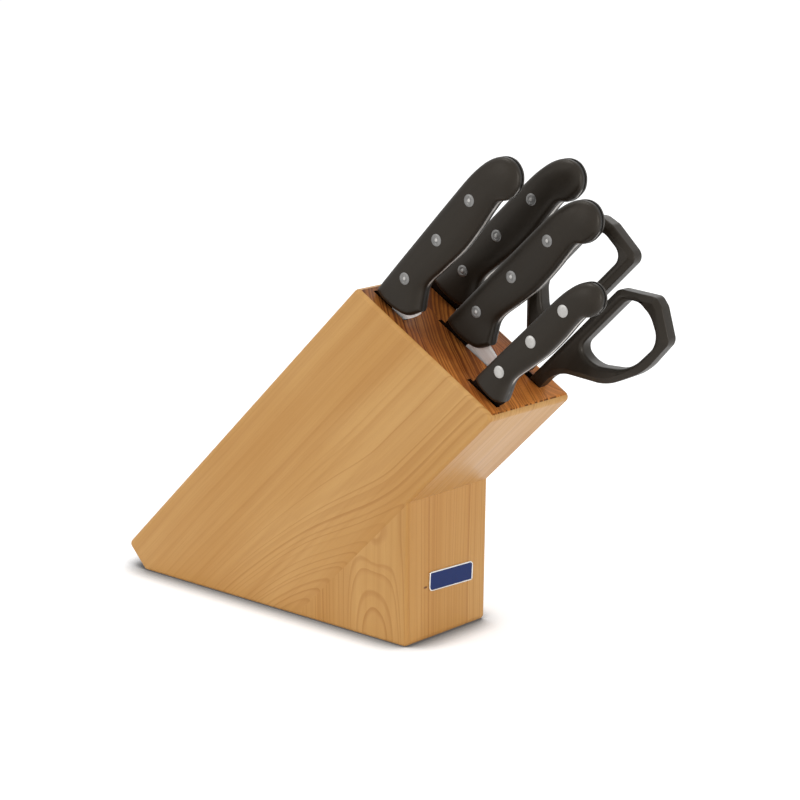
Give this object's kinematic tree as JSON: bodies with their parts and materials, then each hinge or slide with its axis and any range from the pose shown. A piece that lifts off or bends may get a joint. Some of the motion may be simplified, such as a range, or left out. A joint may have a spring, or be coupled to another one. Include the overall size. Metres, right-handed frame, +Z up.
{
  "type": "knife block with knives",
  "caption": "Slanted wooden knife block glued up from routed boards, with riveted full-tang knives and kitchen scissors that draw out of its slots.",
  "frame": {"origin": "middle of the footprint, on the surface that the block stands on", "axes": "+X horizontally towards the leg's front, the way that the knives' handles lean; +Y across the boards to the scissors' side; +Z up"},
  "size_m": [0.3377, 0.066, 0.2659],
  "materials": {
    "wood": "oiled, planed",
    "steel": "fine satin",
    "grip": "satin moulded",
    "rivet": "polished heads",
    "bow": "satin moulded"
  },
  "bodies": {
    "block": {"near_cheek": "wood", "near_core": "wood", "far_core": "wood", "far_cheek": "wood", "leg": "wood"},
    "utility_knife": {"utility_blade": "steel", "utility_near_scale": "grip", "utility_far_scale": "grip", "utility_rivets": "rivet"},
    "carving_knife": {"carving_blade": "steel", "carving_near_scale": "grip", "carving_far_scale": "grip", "carving_rivets": "rivet"},
    "chef_knife": {"chef_blade": "steel", "chef_near_scale": "grip", "chef_far_scale": "grip", "chef_rivets": "rivet"},
    "paring_knife": {"paring_blade": "steel", "paring_near_scale": "grip", "paring_far_scale": "grip", "paring_rivets": "rivet"},
    "scissors": {"upper_shear_blade": "steel", "upper_bow": "bow", "pivot_screw": "rivet", "pivot_nut": "rivet"},
    "scissors_lower": {"lower_shear_blade": "steel", "lower_bow": "bow"}
  },
  "joints": [
    {"name": "utility_draw", "type": "slide", "parent": "block", "child": "utility_knife", "axis": [0.6769, 0, 0.7361], "range_m": [0, 0.158]},
    {"name": "carving_draw", "type": "slide", "parent": "block", "child": "carving_knife", "axis": [0.7163, 0, 0.6978], "range_m": [0, 0.182]},
    {"name": "chef_draw", "type": "slide", "parent": "block", "child": "chef_knife", "axis": [0.7218, 0, 0.6921], "range_m": [0, 0.2]},
    {"name": "paring_draw", "type": "slide", "parent": "block", "child": "paring_knife", "axis": [0.7248, 0, 0.689], "range_m": [0, 0.104]},
    {"name": "scissors_draw", "type": "slide", "parent": "block", "child": "scissors", "axis": [0.7071, 0, 0.7071], "range_m": [0, 0.132]},
    {"name": "scissors_pivot", "type": "hinge", "parent": "scissors", "child": "scissors_lower", "pos_m": [0.12424, 0.0196, 0.13274], "axis": [0, 1, 0], "range_deg": [0, 2]}
  ]
}
